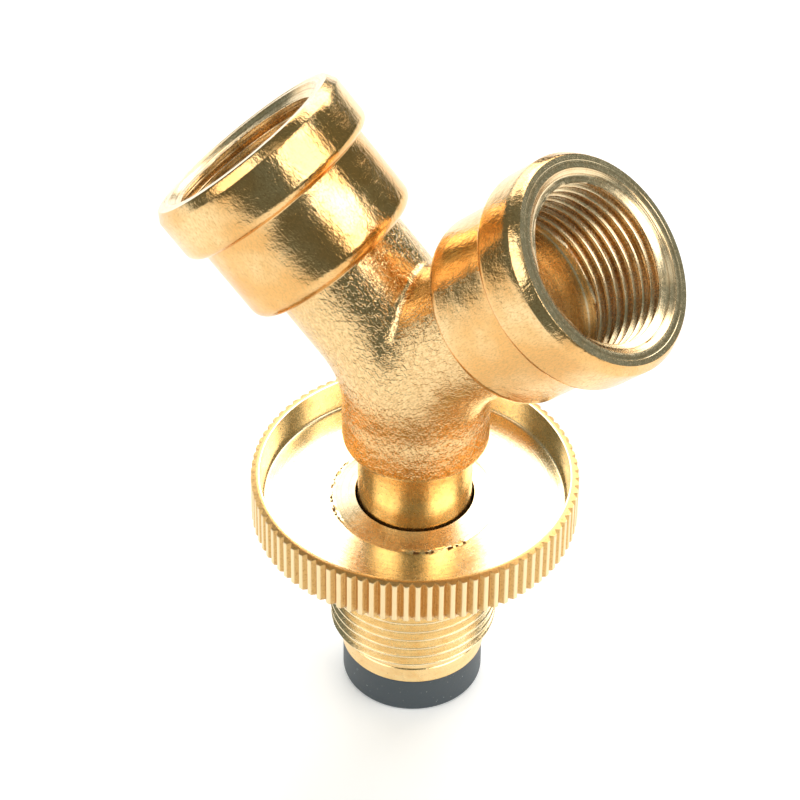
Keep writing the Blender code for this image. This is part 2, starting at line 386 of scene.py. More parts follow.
def make_knurled(rim_radius):
    """Pale on the crests, deeper and grainy in the grooves, by distance from the axis."""
    material, tree, surface = new_finish("knurled_brass", PALE_BRASS, 1.0, 0.3)
    place = place_on_piece(tree)
    radius, _ = distance_from_axis(tree, place)
    crest = ramp(tree, radius, rim_radius - DEEPER_BELOW, rim_radius - PALE_ABOVE)
    grain = noise(tree, place, 3200.0, 3.0, 0.7)
    groove = mix_colour(tree, ramp(tree, grain, 0.50, 0.68), GROOVE_BRASS, TARNISH)
    tree.links.new(mix_colour(tree, crest, groove, PALE_BRASS), surface.inputs["Base Color"])
    tree.links.new(bump(tree, grain, 0.05 * MM), surface.inputs["Normal"])
    return material


knurled_brass = make_knurled(wheel_high.y)
print(knurled_brass.name, "is pale above", round((wheel_high.y - PALE_ABOVE) / MM, 2), "mm radius")

# %% [markdown]
# ## Rubber and fibre
# Moulded rubber is a dull slate grey with a soft skin and a few specks of dust, and pressed
# fibre is matted red strands. Neither is a metal, so both get colour from the surface itself
# and only a weak gloss.

# %% Rubber and fibre
SLATE = (0.060, 0.076, 0.088)
DUST = (0.30, 0.32, 0.32)
FIBRE_RED = (0.34, 0.10, 0.05)
FIBRE_DARK = (0.22, 0.06, 0.04)


def make_rubber():
    """Slate grey moulded rubber with a dull skin and a few pale specks of dust."""
    material, tree, surface = new_finish("black_rubber", SLATE, 0.0, 0.5)
    place = place_on_piece(tree)
    specks = ramp(tree, noise(tree, place, 2600.0, 1.0), 0.74, 0.79)
    tree.links.new(mix_colour(tree, specks, SLATE, DUST), surface.inputs["Base Color"])
    relief = bump(tree, noise(tree, place, 1600.0, 3.0), 0.02 * MM)
    tree.links.new(relief, surface.inputs["Normal"])
    return material


def make_fibre():
    """Matted strands in two reds, raised a little."""
    material, tree, surface = new_finish("fibre_washer", FIBRE_RED, 0.0, 0.7)
    strands = noise(tree, place_on_piece(tree), 4000.0, 4.0, 0.7)
    tree.links.new(mix_colour(tree, strands, FIBRE_RED, FIBRE_DARK), surface.inputs["Base Color"])
    tree.links.new(bump(tree, strands, 0.03 * MM), surface.inputs["Normal"])
    return material


nose_rubber = make_rubber()
red_fibre = make_fibre()
print("soft finishes", nose_rubber.name, red_fibre.name)

# %% [markdown]
# ## Floor
# The floor is a plain pale sheet that the fitting stands on. It glows faintly, so that the
# shadow stays light, and it ends where the soft boxes stand, beyond which it would turn grey.

# %% Floor
FLOOR_GLOW = 0.20
FLOOR_REACH = 1.15
FLOOR_TILES = 12


def add_floor():
    """A pale, matte floor, lit a little from below: a square grid of points at height zero."""
    corners = FLOOR_TILES + 1
    side = np.linspace(-FLOOR_REACH, FLOOR_REACH, corners)
    x, y = np.meshgrid(side, side, indexing="ij")
    points = np.stack([x, y, np.zeros_like(x)], -1).reshape(-1, 3)
    i, j = np.meshgrid(np.arange(FLOOR_TILES), np.arange(FLOOR_TILES), indexing="ij")
    k = i * corners + j
    quads = np.stack([k, k + corners, k + corners + 1, k + 1], -1).reshape(-1, 4)
    mesh = bpy.data.meshes.new("floor")
    mesh.from_pydata(points.tolist(), [], quads.tolist())
    material, tree, surface = new_finish("pale_floor", (0.93, 0.93, 0.93), 0.0, 0.7)
    surface.inputs["Emission Color"].default_value = (1.0, 1.0, 1.0, 1.0)
    surface.inputs["Emission Strength"].default_value = FLOOR_GLOW
    mesh.materials.append(material)
    floor = bpy.data.objects.new("floor", mesh)
    bpy.context.scene.collection.objects.link(floor)
    print("floor", 2.0 * FLOOR_REACH, "m wide,", len(quads), "tiles")


add_floor()

# %% [markdown]
# ## Turned surfaces as grids
# A turned piece is a grid: one parameter runs around the axis, the other along the outline.
# Working it out as arrays gives control that a lathe modifier doesn't, because the radius may
# change with the angle, as it does on a thread or a knurl.

# %% Outlines
def line(start, end, count=2):
    """Points from start to end, evenly spaced: start + t (end - start)."""
    t = np.linspace(0.0, 1.0, count)[:, None]
    return np.asarray(start) * (1.0 - t) + np.asarray(end) * t


def arc(centre, radius, start_deg, end_deg, count=7):
    """Points on a circle: centre + radius (cos a, sin a) for evenly spaced a."""
    a = np.radians(np.linspace(start_deg, end_deg, count))
    return np.stack([centre[0] + radius * np.cos(a), centre[1] + radius * np.sin(a)], axis=1)


def outline(*stretches):
    """Stretches of (radius, height) joined in order, without repeated points."""
    points = np.concatenate([np.atleast_2d(s) for s in stretches])
    step = np.linalg.norm(np.diff(points, axis=0), axis=1)
    return points[np.concatenate([[True], step > 1e-7])]


# %% Local axes
class Axis:
    """An axis with its origin, its direction and two directions across it."""

    def __init__(self, origin, direction, across):
        self.origin = np.asarray(origin, float)
        self.along = np.asarray(direction, float)
        self.first = np.asarray(across, float)
        self.second = np.cross(self.along, self.first)

    def place(self, radius, height, angle):
        """origin + height along + radius (cos angle first + sin angle second), on any grid."""
        radius, height, angle = np.broadcast_arrays(radius, height, angle)
        return (self.origin + height[..., None] * self.along
                + (radius * np.cos(angle))[..., None] * self.first
                + (radius * np.sin(angle))[..., None] * self.second)


STEM_AXIS = Axis((0, 0, 0), (0, 0, 1), (1, 0, 0))


def soft_minimum(a, b, width):
    """The smaller of a and b, rounded where they differ by less than width."""
    h = np.maximum(width - np.abs(a - b), 0.0) / width
    return np.minimum(a, b) - h * h * width / 4.0


def even_angles(count):
    """Angles of count equal steps around a full turn, from zero."""
    return np.arange(count) * 2.0 * math.pi / count


# %% [markdown]
# ## From grids to a mesh
# A piece is a list of grids whose edges meet. Each grid is closed around the axis. The points
# that two grids share are merged, and the faces are turned outwards once the piece is closed.

# %% Patches
class Patch:
    """A grid of points (rows, columns, 3), the axis it runs around and the number of its finish.

    Its last column joins its first, unless wraps is false because they already lie on each other.
    """

    def __init__(self, points, axis, finish=0, wraps=True):
        self.points = points
        self.axis = axis
        self.finish = finish
        self.wraps = wraps

    def turning(self):
        """Each point in its own axis's directions: (along first, along second, along the axis)."""
        offset = self.points - self.axis.origin
        axes = np.stack([self.axis.first, self.axis.second, self.axis.along])
        return offset @ axes.T


# %% Mesh helpers
def grid_faces(rows, columns, wraps, first):
    """Quads of a grid: corners (i, j), (i, j+1), (i+1, j+1), (i+1, j), with j+1 back to 0 if it wraps."""
    i, j = np.meshgrid(np.arange(rows - 1), np.arange(columns if wraps else columns - 1), indexing="ij")
    k = (j + 1) % columns
    quads = np.stack([i * columns + j, i * columns + k, (i + 1) * columns + k, (i + 1) * columns + j], -1)
    return quads.reshape(-1, 4) + first


def make_piece(name, patches, finishes, extra_faces=(), sharp_deg=32.0):
    """A smooth, closed mesh object from patches and extra faces, with one material per finish.

    The "turning" attribute keeps each point's place along and around its own axis.
    """
    points = []
    turning = []
    faces = []
    finish = []
    first = 0
    for patch in patches:
        rows, columns = patch.points.shape[:2]
        points.append(patch.points.reshape(-1, 3))
        turning.append(patch.turning().reshape(-1, 3))
        quads = grid_faces(rows, columns, patch.wraps, first)
        faces.extend(quads.tolist())
        finish.extend(np.broadcast_to(patch.finish, len(quads)).tolist())
        first += rows * columns
    faces.extend(extra_faces)
    finish.extend([0] * len(extra_faces))
    mesh = bpy.data.meshes.new(name)
    mesh.from_pydata(np.concatenate(points).tolist(), [], faces)
    mesh.polygons.foreach_set("material_index", finish)
    attribute = mesh.attributes.new("turning", "FLOAT_VECTOR", "POINT")
    attribute.data.foreach_set("vector", np.concatenate(turning).astype(np.float32).ravel())
    for material in finishes:
        mesh.materials.append(material)
    shape = bmesh.new()
    shape.from_mesh(mesh)
    bmesh.ops.remove_doubles(shape, verts=shape.verts, dist=2e-7)
    bmesh.ops.dissolve_degenerate(shape, edges=shape.edges, dist=1e-8)
    bmesh.ops.recalc_face_normals(shape, faces=shape.faces)
    open_edges = sum(1 for edge in shape.edges if len(edge.link_faces) != 2)
    triangles = sum(len(face.verts) - 2 for face in shape.faces)
    shape.to_mesh(mesh)
    shape.free()
    mesh.shade_smooth()
    mesh.set_sharp_from_angle(angle=math.radians(sharp_deg))
    piece = bpy.data.objects.new(name, mesh)
    bpy.context.scene.collection.objects.link(piece)
    print(name, triangles, "triangles,", open_edges, "open edges")
    return piece


# %% [markdown]
# ## The thread
# A pipe thread is a 55 degree V with rounded crests and roots. Its section is close to a
# triangle wave with soft tips, and the helix is that wave with its phase turned by the angle.

# %% Thread section
THREAD_PHASES = np.array([0.0, 0.06, 0.08, 0.10, 0.16, 0.28, 0.39, 0.45,
                          0.5, 0.55, 0.61, 0.72, 0.84, 0.90, 0.92, 0.94])
TOOTH_STEEPNESS = 1.5
CREST_SOFTNESS = 0.14
ROOT_SOFTNESS = 0.6


def tooth_wave(phase):
    """Triangle wave 1 - 4 |phase - nearest turn|, made steeper, cut off crisply at 1 and softly at -1."""
    triangle = TOOTH_STEEPNESS * (1.0 - 4.0 * np.abs(phase - np.round(phase)))
    topped = soft_minimum(triangle, np.ones_like(triangle), CREST_SOFTNESS)
    return -soft_minimum(-topped, np.ones_like(triangle), ROOT_SOFTNESS)


def thread_radius(height, angle, root, crest):
    """Radius of a right-hand thread from root to crest: the wave of height / pitch - angle / full turn."""
    phase = height / THREAD_PITCH - angle / (2.0 * math.pi)
    return (root + crest) / 2.0 + (crest - root) / 2.0 * tooth_wave(phase)


def thread_patch(axis, low, high, radius_at, columns, finish=0):
    """A thread between two heights, as a strip whose rows climb one pitch a turn.

    The row of turn n and phase p has the height (n + p + angle / full turn) pitch, held between
    low and high, so that crests run along rows. The last column meets the first a pitch further on.
    """
    turns = math.ceil((high - low) / THREAD_PITCH) + 2
    phases = (np.arange(turns)[:, None] + THREAD_PHASES).ravel() + math.floor(low / THREAD_PITCH) - 1
    angle = np.linspace(0.0, 2.0 * math.pi, columns + 1)
    height = np.clip((phases[:, None] + angle / (2.0 * math.pi)) * THREAD_PITCH, low, high)
    return Patch(axis.place(radius_at(height, angle), height, angle), axis, finish, wraps=False)


# %% [markdown]
# ## The fork
# The forging's three tubes meet in one smooth fork with a small web in the crotch. A boolean
# leaves a hard seam there, so the fork is measured instead: the distance to the three tubes is
# blended, and each grid point is pushed out along its ray until that distance is zero.

# %% Blended distance to three tubes
def arm_axis(side):
    """The left (-1) or right (+1) arm's axis from the junction; its second direction is +Y."""
    along = (side * math.sin(ARM_TILT), 0.0, math.cos(ARM_TILT))
    across = np.cross((0.0, 1.0, 0.0), along)
    return Axis(JUNCTION, along, across)


ARMS = {-1: arm_axis(-1), 1: arm_axis(1)}
NECK = Axis(JUNCTION, (0, 0, -1), np.cross((0.0, 1.0, 0.0), (0.0, 0.0, -1.0)))


def tube_distance(points, axis, radius):
    """Distance from a point to the ray along an axis, less the tube's radius."""
    offset = points - axis.origin
    along = np.maximum(offset @ axis.along, 0.0)
    return np.linalg.norm(offset - along[..., None] * axis.along, axis=-1) - radius


def fork_distance(points, arm_radius, neck_radius, crotch, armpit):
    """The two arms blended over the crotch's width, then the neck over the armpit's."""
    left = tube_distance(points, ARMS[-1], arm_radius)
    right = tube_distance(points, ARMS[1], arm_radius)
    neck = tube_distance(points, NECK, neck_radius)
    return soft_minimum(soft_minimum(left, right, crotch), neck, armpit)


HALVINGS = 30


def reach_surface(start, direction, shortest, longest, distance):
    """Halve the span along each ray, again and again, to where the distance changes sign."""
    low = np.full(start.shape[:-1], shortest)
    high = np.full(start.shape[:-1], longest)
    for _ in range(HALVINGS):
        middle = (low + high) / 2.0
        inside = distance(start + middle[..., None] * direction) < 0.0
        low = np.where(inside, middle, low)
        high = np.where(inside, high, middle)
    return (low + high)[..., None] / 2.0


# %% Half planes that part the three tubes
def half_plane(angle_from_up, mirror=1):
    """The direction in the XZ plane at an angle from +Z towards +X, or -X if mirrored."""
    return np.array([mirror * math.sin(angle_from_up), 0.0, math.cos(angle_from_up)])


UNDER_ARM = math.radians(45.0 + 67.5)
BETWEEN_ARMS = half_plane(0.0)
RIGHT_ARMPIT = half_plane(UNDER_ARM, 1)
LEFT_ARMPIT = half_plane(UNDER_ARM, -1)
CROWDING = 1.7


# %% One branch of the fork
def fork_branch(axis, near, far, reach, angles, rows, arm_radius, neck_radius, blends):
    """The fork's surface along one tube, from the half planes out to a plain circle.

    A column at angle a starts in the half plane near (|a| < 90 deg) or far, on the ray
    cos p (+Y) + sin p h, and slides along the axis while it turns to its own angle. Its rows
    crowd towards the seam, as t to the power of CROWDING.
    """
    def distance(points):
        return fork_distance(points, arm_radius, neck_radius, *blends)

    turn = (angles + math.pi / 2.0) % (2.0 * math.pi) - math.pi / 2.0
    on_near = turn <= math.pi / 2.0
    ray_angle = np.where(on_near, math.pi / 2.0 - turn, turn - math.pi / 2.0)
    leaning = np.where(on_near[:, None], near, far)
    ray = np.cos(ray_angle)[:, None] * axis.second + np.sin(ray_angle)[:, None] * leaning
    start = np.broadcast_to(JUNCTION, ray.shape)
    shortest = 0.3 * arm_radius
    longest = 2.5 * max(arm_radius, neck_radius)
    seam = start + reach_surface(start, ray, shortest, longest, distance) * ray

    seam_height = (seam - JUNCTION) @ axis.along
    seam_angle = np.arctan2((seam - JUNCTION) @ axis.second, (seam - JUNCTION) @ axis.first)
    drift = (seam_angle - angles + math.pi) % (2.0 * math.pi) - math.pi
    t = np.linspace(0.0, 1.0, rows)[:, None] ** CROWDING
    height = seam_height * (1.0 - t) + reach * t
    angle = angles + drift * (1.0 - t) ** 2
    centre = axis.origin + height[..., None] * axis.along
    outward = axis.place(1.0, 0.0, angle) - axis.origin
    surface = centre + reach_surface(centre, outward, shortest, longest, distance) * outward
    surface[0] = seam
    surface[-1] = axis.place(neck_radius if axis is NECK else arm_radius, reach, angles)
    return surface


# %% [markdown]
# ## One arm
# Each arm is one long outline: the forged barrel and collar on the outside, then the turned
# mouth face, the countersink, the internal thread, its relief groove, the flat floor and the
# drilled passage back to the fork. Cutting the bore with a boolean would leave long thin faces
# at the thread. Carried round as grids with shared edges, all of it stays clean.

# %% Arm outline
BODY_COLUMNS = 152
BODY_ANGLES = even_angles(BODY_COLUMNS)
BARREL_START = 19.1 * MM
COLLAR_START = 32.6 * MM
MOUTH_CHAMFER_START = 40.25 * MM
MOUTH_FACE_INNER = 13.98 * MM
BORE_FLOOR = MOUTH_FACE - 17.6 * MM
RELIEF_TOP = BORE_FLOOR + 1.6 * MM
RELIEF_GROOVE = THREAD_MAJOR - 0.1 * MM
BORE_TOP = MOUTH_FACE - 0.11 * MM
COUNTERSINK_DEPTH = 0.7 * MM
COUNTERSINK_SLOPE = 1.2
SHOULDER_SLOPE = 6.0
PASSAGE_RADIUS = 4.0 * MM
FORK_REACH = 15.0 * MM
PASSAGE_REACH = 7.0 * MM


def arm_outside():
    """(radius, height) from the fork's circle to the outer edge of the mouth face."""
    shoulder = 2.4 * MM
    back_edge = 1.7 * MM
    lip = 0.16 * MM
    foot = 0.5 * MM
    draft = 0.03 * MM
    fillet = 0.3 * MM
    return outline(
        line((TUBE_RADIUS, FORK_REACH), (TUBE_RADIUS, BARREL_START - foot), 6),
        arc((TUBE_RADIUS + foot, BARREL_START - foot), foot, 180, 100, 6),
        arc((BARREL_RADIUS - shoulder, BARREL_START + shoulder), shoulder, -82, 0, 12),
        line((BARREL_RADIUS, BARREL_START + shoulder),
             (BARREL_RADIUS + draft, COLLAR_START - fillet), 6),
        arc((BARREL_RADIUS + draft + fillet, COLLAR_START - fillet), fillet, 180, 100, 4),
        arc((COLLAR_RADIUS - back_edge, COLLAR_START + back_edge), back_edge, -78, 0, 10),
        line((COLLAR_RADIUS, COLLAR_START + back_edge), (COLLAR_RADIUS, MOUTH_CHAMFER_START - 0.1 * MM), 6),
        line((COLLAR_RADIUS - 0.05 * MM, MOUTH_CHAMFER_START + 0.04 * MM),
             (MOUTH_FACE_OUTER + lip, MOUTH_FACE - lip * 1.3), 4),
        line((MOUTH_FACE_OUTER, MOUTH_FACE - 0.04 * MM), (MOUTH_FACE_OUTER - 0.06 * MM, MOUTH_FACE), 2))


def mouth_face():
    """The turned ring, with the shallow step that the tool left part way across."""
    step_at = 15.15 * MM
    step = 0.05 * MM
    return outline(
        line((MOUTH_FACE_OUTER - 0.06 * MM, MOUTH_FACE), (step_at + 0.06 * MM, MOUTH_FACE), 3),
        line((step_at, MOUTH_FACE - step), (MOUTH_FACE_INNER + 0.1 * MM, MOUTH_FACE - step), 3),
        [(MOUTH_FACE_INNER, MOUTH_FACE - step - 0.06 * MM)])


def bore_radius(height, angle):
    """The thread, opened by the countersink's cone and shoulder, and run out into the relief groove."""
    depth = BORE_TOP - height
    cone = MOUTH_FACE_INNER - depth * COUNTERSINK_SLOPE
    shoulder = THREAD_MAJOR - (depth - COUNTERSINK_DEPTH) * SHOULDER_SLOPE
    thread = thread_radius(height, angle, THREAD_MAJOR, THREAD_MINOR)
    run_out = np.clip((height - RELIEF_TOP) / (0.4 * MM), 0.0, 1.0)
    wall = RELIEF_GROOVE + (thread - RELIEF_GROOVE) * run_out
    return np.maximum(wall, np.minimum(cone, shoulder))


def arm_inside():
    """(radius, height) from the relief groove over the floor into the passage."""
    edge = 0.35 * MM
    return outline(
        line((RELIEF_GROOVE, RELIEF_TOP), (RELIEF_GROOVE, BORE_FLOOR + 0.2 * MM), 3),
        line((RELIEF_GROOVE - 0.2 * MM, BORE_FLOOR), (PASSAGE_RADIUS + edge, BORE_FLOOR), 12),
        line((PASSAGE_RADIUS, BORE_FLOOR - edge), (PASSAGE_RADIUS, PASSAGE_REACH), 8))


def turned_patch(axis, points, angles, finish=0):
    """An outline of (radius, height) carried around an axis."""
    return Patch(axis.place(points[:, :1], points[:, 1:], angles[None, :]), axis, finish)


def arm_patches(side):
    """The outside, mouth face, threaded wall and floor of the left (-1) or right (+1) arm."""
    axis = ARMS[side]
    wall = thread_patch(axis, RELIEF_TOP, BORE_TOP, bore_radius, BODY_COLUMNS, MACHINED)
    return [turned_patch(axis, arm_outside(), BODY_ANGLES, FORGED),
            turned_patch(axis, mouth_face(), BODY_ANGLES, MACHINED), wall,
            turned_patch(axis, arm_inside(), BODY_ANGLES, MACHINED)]


# %% [markdown]
# ## The neck
# The neck ends in a rounded edge over the stem. Inside it is the socket that the stem screws
# into. Its outline joins the fork's outside to the drilled fork inside, so that the body is one
# closed skin and needs no cap.

# %% Neck outline and the whole body
NECK_REACH = 11.0 * MM
NECK_PASSAGE_RADIUS = 4.2 * MM
NECK_PASSAGE_REACH = 3.8 * MM
NECK_BOTTOM = JUNCTION_HEIGHT - body_low.z
SOCKET_RADIUS = 9.2 * MM
SOCKET_DEPTH = 2.3 * MM
SOCKET_THREAD_RADIUS = 6.9 * MM
SOCKET_THREAD_END = 4.3 * MM


def neck_outline():
    """(radius, depth below the junction) from the fork down, round the edge and up the socket."""
    edge = 1.2 * MM
    return outline(
        line((NECK_RADIUS, NECK_REACH), (NECK_RADIUS, NECK_BOTTOM - edge), 6),
        arc((NECK_RADIUS - edge, NECK_BOTTOM - edge), edge, 0, 90, 10),
        line((SOCKET_RADIUS + 0.2 * MM, NECK_BOTTOM), (SOCKET_RADIUS, NECK_BOTTOM - 0.2 * MM)),
        line((SOCKET_RADIUS, NECK_BOTTOM - SOCKET_DEPTH),
             (SOCKET_THREAD_RADIUS, NECK_BOTTOM - SOCKET_DEPTH), 3),
        line((SOCKET_THREAD_RADIUS, SOCKET_THREAD_END), (NECK_PASSAGE_RADIUS, SOCKET_THREAD_END), 3),
        [(NECK_PASSAGE_RADIUS, NECK_PASSAGE_REACH)])


CROTCH_BLEND = 1.3 * MM
ARMPIT_BLEND = 3.2 * MM
DRILLED_BLEND = 0.1 * MM
OUTSIDE_ROWS = 30
DRILLED_ROWS = 7


def fork_patches():
    """The fork's outside and the drilled fork inside it, each as three branches."""
    branches = ((ARMS[1], RIGHT_ARMPIT, BETWEEN_ARMS), (ARMS[-1], BETWEEN_ARMS, LEFT_ARMPIT),
                (NECK, LEFT_ARMPIT, RIGHT_ARMPIT))
    patches = []
    for axis, near, far in branches:
        reach = NECK_REACH if axis is NECK else FORK_REACH
        outside = fork_branch(axis, near, far, reach, BODY_ANGLES, OUTSIDE_ROWS,
                              TUBE_RADIUS, NECK_RADIUS, (CROTCH_BLEND, ARMPIT_BLEND))
        inner_reach = NECK_PASSAGE_REACH if axis is NECK else PASSAGE_REACH
        inside = fork_branch(axis, near, far, inner_reach, BODY_ANGLES, DRILLED_ROWS,
                             PASSAGE_RADIUS, NECK_PASSAGE_RADIUS, (DRILLED_BLEND, DRILLED_BLEND))
        patches += [Patch(outside, axis, FORGED), Patch(inside, axis, MACHINED)]
    return patches


body = make_piece("splitter_body", fork_patches() + arm_patches(-1) + arm_patches(1)
                  + [turned_patch(NECK, neck_outline(), BODY_ANGLES, FORGED)],
                  [forged_brass, machined_brass])
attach(body, "fitting")
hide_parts("y_body")

# %% [markdown]
# ## The inlet stem
# The stem is turned from bar: a shank that the wheel turns on, a flange at its foot that the
# wheel pulls on, and a nose spigot inside the rubber. It could be stacked from cylinders, but
# one closed outline leaves no inner faces, and its edges are broken where a file would.

# %% Stem
STEM_ANGLES = even_angles(144)
SHANK_RADIUS = 8.9 * MM
SHANK_TOP = 50.4 * MM
FLANGE_RADIUS = stem_high.x
FLANGE_TOP = 9.6 * MM
STEM_PASSAGE = 4.2 * MM


def stem_outline():
    """A closed (radius, height) outline: spigot, shank, flange, nose and back up the passage."""
    break_edge = 0.15 * MM
    spigot_chamfer = 0.6 * MM
    nose_chamfer = 0.8 * MM
    spigot = 6.6 * MM
    nose = 6.5 * MM
    flange_low = seal_high.z + 0.04 * MM
    return outline(
        line((STEM_PASSAGE, stem_high.z), (spigot - spigot_chamfer, stem_high.z), 3),
        line((spigot, stem_high.z - spigot_chamfer), (spigot, SHANK_TOP), 3),
        line((SHANK_RADIUS - break_edge, SHANK_TOP), (SHANK_RADIUS, SHANK_TOP - break_edge)),
        line((SHANK_RADIUS, SHANK_TOP - 1.0 * MM), (SHANK_RADIUS, FLANGE_TOP), 30),
        line((FLANGE_RADIUS - break_edge, FLANGE_TOP), (FLANGE_RADIUS, FLANGE_TOP - break_edge)),
        line((FLANGE_RADIUS, FLANGE_TOP - 0.5 * MM), (FLANGE_RADIUS, flange_low + break_edge), 4),
        line((FLANGE_RADIUS - break_edge, flange_low), (nose, flange_low), 3),
        line((nose, stem_low.z + nose_chamfer), (nose - nose_chamfer, stem_low.z)),
        line((STEM_PASSAGE, stem_low.z), (STEM_PASSAGE, stem_high.z), 3))


stem = make_piece("stem_turned", [turned_patch(STEM_AXIS, stem_outline(), STEM_ANGLES)], [satin_brass])
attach(stem, "fitting")
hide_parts("inlet_stem")

# %% [markdown]
# ## The rubber nose
# A plain moulded ring with soft edges. Its lip hides the brass nose inside it. It has nothing
# to bend, so it is an outline carried round like the stem, without any simulation.

# %% Nose seal
def seal_outline():
    """A closed (radius, height) outline of the ring: rounded outside, stepped bore."""
    top_edge = 0.25 * MM
    low_edge = 0.6 * MM
    outer = seal_high.x
    bore = 6.8 * MM
    lip = 4.6 * MM
    lip_height = 1.0 * MM
    return outline(
        line((bore, seal_high.z), (outer - top_edge, seal_high.z), 5),
        arc((outer - top_edge, seal_high.z - top_edge), top_edge, 90, 0, 5),
        line((outer, seal_high.z - 2 * top_edge), (outer, low_edge * 1.2), 5),
        arc((outer - low_edge, low_edge), low_edge, 0, -90, 7),
        line((lip + 0.2 * MM, 0.0), (lip, 0.2 * MM)),
        line((lip, lip_height), (bore, lip_height)),
        [(bore, seal_high.z)])


seal = make_piece("nose_rubber", [turned_patch(STEM_AXIS, seal_outline(), STEM_ANGLES)], [nose_rubber])
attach(seal, "fitting")
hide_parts("nose_seal")

# %% [markdown]
# ## Two washers
# The thrust washer lies on the flange under the wheel, and the fibre washer seals the stem's
# shoulder in the neck. Both are flat rings with softly broken edges, so one function makes
# them from a bore, a finish and the corners of their own boxes.

# %% Washers
FIT_GAP = 0.26 * MM
THRUST_BORE = 9.3 * MM
FIBRE_BORE = 6.95 * MM


def washer(name, node, body_name, finish, inner, low, high):
    """A flat ring of the CAD node's radius that fills the gap the solids keep on both sides."""
    edge = 0.06 * MM
    outer = high.x
    bottom = low.z - FIT_GAP
    top = high.z + FIT_GAP
    points = outline(
        line((inner + edge, top), (outer - edge, top)),
        line((outer, top - edge), (outer, bottom + edge)),
        line((outer - edge, bottom), (inner + edge, bottom)),
        line((inner, bottom + edge), (inner, top - edge)),
        [(inner + edge, top)])
    ring = make_piece(name, [turned_patch(STEM_AXIS, points, STEM_ANGLES)], [finish])
    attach(ring, body_name)
    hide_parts(node)


washer("thrust_ring_brass", "thrust_washer", "thrust_ring", satin_brass,
       THRUST_BORE, thrust_low, thrust_high)
washer("fibre_ring", "stem_seal_washer", "fitting", red_fibre,
       FIBRE_BORE, fibre_low, fibre_high)

# %% [markdown]
# ## The hand wheel: knurled rim
# The rim's grooves were cut with a pointed tool. Seen along the axis a groove is a V with a
# slightly blunt tip, so the rim's radius falls in a straight line towards the groove's middle.
# Twelve columns a groove, close together at the tip and the edges, follow that section.

# %% Knurl section
GROOVES = 90
RIM_RADIUS = wheel_high.y
GROOVE_DEPTH = 0.7 * MM
GROOVE_SHARE = 0.68
RIM_TOP = wheel_high.z
RIM_BOTTOM = RIM_TOP - 7.6 * MM
RING_OUTER = RIM_RADIUS - 0.85 * MM
RING_INNER = 24.1 * MM
CHAMFER_DROP = 0.3 * MM


def knurl_angles():
    """Twelve angles a groove: at its tip, up its side, either side of its edge, and the crest's middle."""
    half = math.pi / GROOVES
    edge = GROOVE_SHARE * half
    side = edge * np.array([0.0, 0.12, 0.45, 0.88, 0.97, 1.08])
    one = np.concatenate([side, [half], 2.0 * half - side[:0:-1]])
    return (np.arange(GROOVES)[:, None] * 2.0 * half + one).ravel()


def knurl_radius(angles):
    """Rim radius less depth (1 - |offset| / edge), with its tip and its edges softly rounded."""
    half = math.pi / GROOVES
    edge = GROOVE_SHARE * half
    off = np.abs((angles + half) % (2.0 * half) - half)
    slope = RIM_RADIUS - GROOVE_DEPTH * (1.0 - off / edge)
    blunt = -soft_minimum(-slope, np.full_like(slope, -(RIM_RADIUS - 0.93 * GROOVE_DEPTH)), 0.12 * MM)
    return soft_minimum(blunt, np.full_like(slope, RIM_RADIUS), 0.05 * MM)


# Every sixth column of the rim goes on as a column of the cup, the thread and the underside.
RIM_ANGLES = knurl_angles()
FAN = 6
WHEEL_ANGLES = RIM_ANGLES[::FAN]
print("rim columns", len(RIM_ANGLES), "wheel columns", len(WHEEL_ANGLES))


# %% Rim surface
def rim_grid():
    """Rows over the rim: flat ring, chamfer up to each groove's own edge, wall, bottom edge."""
    wall = knurl_radius(RIM_ANGLES)
    edge = 0.05 * MM

    def chamfer_height(radius):
        share = np.clip((radius - RING_OUTER) / (RIM_RADIUS - RING_OUTER), 0.0, 1.0)
        return RIM_TOP - CHAMFER_DROP * share

    rows = [(np.full_like(wall, (RING_INNER + RING_OUTER) / 2.0), np.full_like(wall, RIM_TOP)),
            (np.full_like(wall, RING_OUTER - 0.04 * MM), np.full_like(wall, RIM_TOP))]
    for share in (0.06, 0.35, 0.7, 1.0):
        radius = RING_OUTER + (wall - edge - RING_OUTER) * share
        rows.append((radius, chamfer_height(radius)))
    low_edge = RIM_BOTTOM + 0.25 * MM
    high = chamfer_height(wall) - edge
    for share in (0.0, 0.1, 0.5, 0.9, 1.0):
        rows.append((wall, high + (low_edge - high) * share))
    rows.append((wall - 0.12 * MM, np.full_like(wall, RIM_BOTTOM + 0.08 * MM)))
    rows.append((wall - 0.25 * MM, np.full_like(wall, RIM_BOTTOM)))
    rows.append((np.full_like(wall, RIM_RADIUS - 1.6 * MM), np.full_like(wall, RIM_BOTTOM)))
    radius = np.stack([row[0] for row in rows])
    height = np.stack([row[1] for row in rows])
    return STEM_AXIS.place(radius, height, RIM_ANGLES[None, :])


# %% [markdown]
# ## The hand wheel: cup and threaded hub
# The cup's floor was faced off almost to a mirror, round a low cone at the bore whose edge kept
# a ragged burr. Below the cup is the hub with the inlet thread, which starts in a chamfer and
# runs out in a relief groove. The burr is six rows of the cup's own grid, moved by waves of the
# angle: a separate sliver of metal would never meet the cone cleanly.

# %% Cup, bore and hub
CUP_FLOOR = RIM_TOP - 5.15 * MM
CONE_TOP = RIM_TOP - 4.1 * MM
CONE_OUTER = 12.85 * MM
BORE_RADIUS = 9.30 * MM
HUB_BOTTOM = wheel_low.z
RELIEF_RADIUS = 11.8 * MM
RELIEF_LOW = RIM_BOTTOM - 2.6 * MM
LEAD_IN_DEPTH = 0.25 * MM
LEAD_IN_SLOPE = 1.1


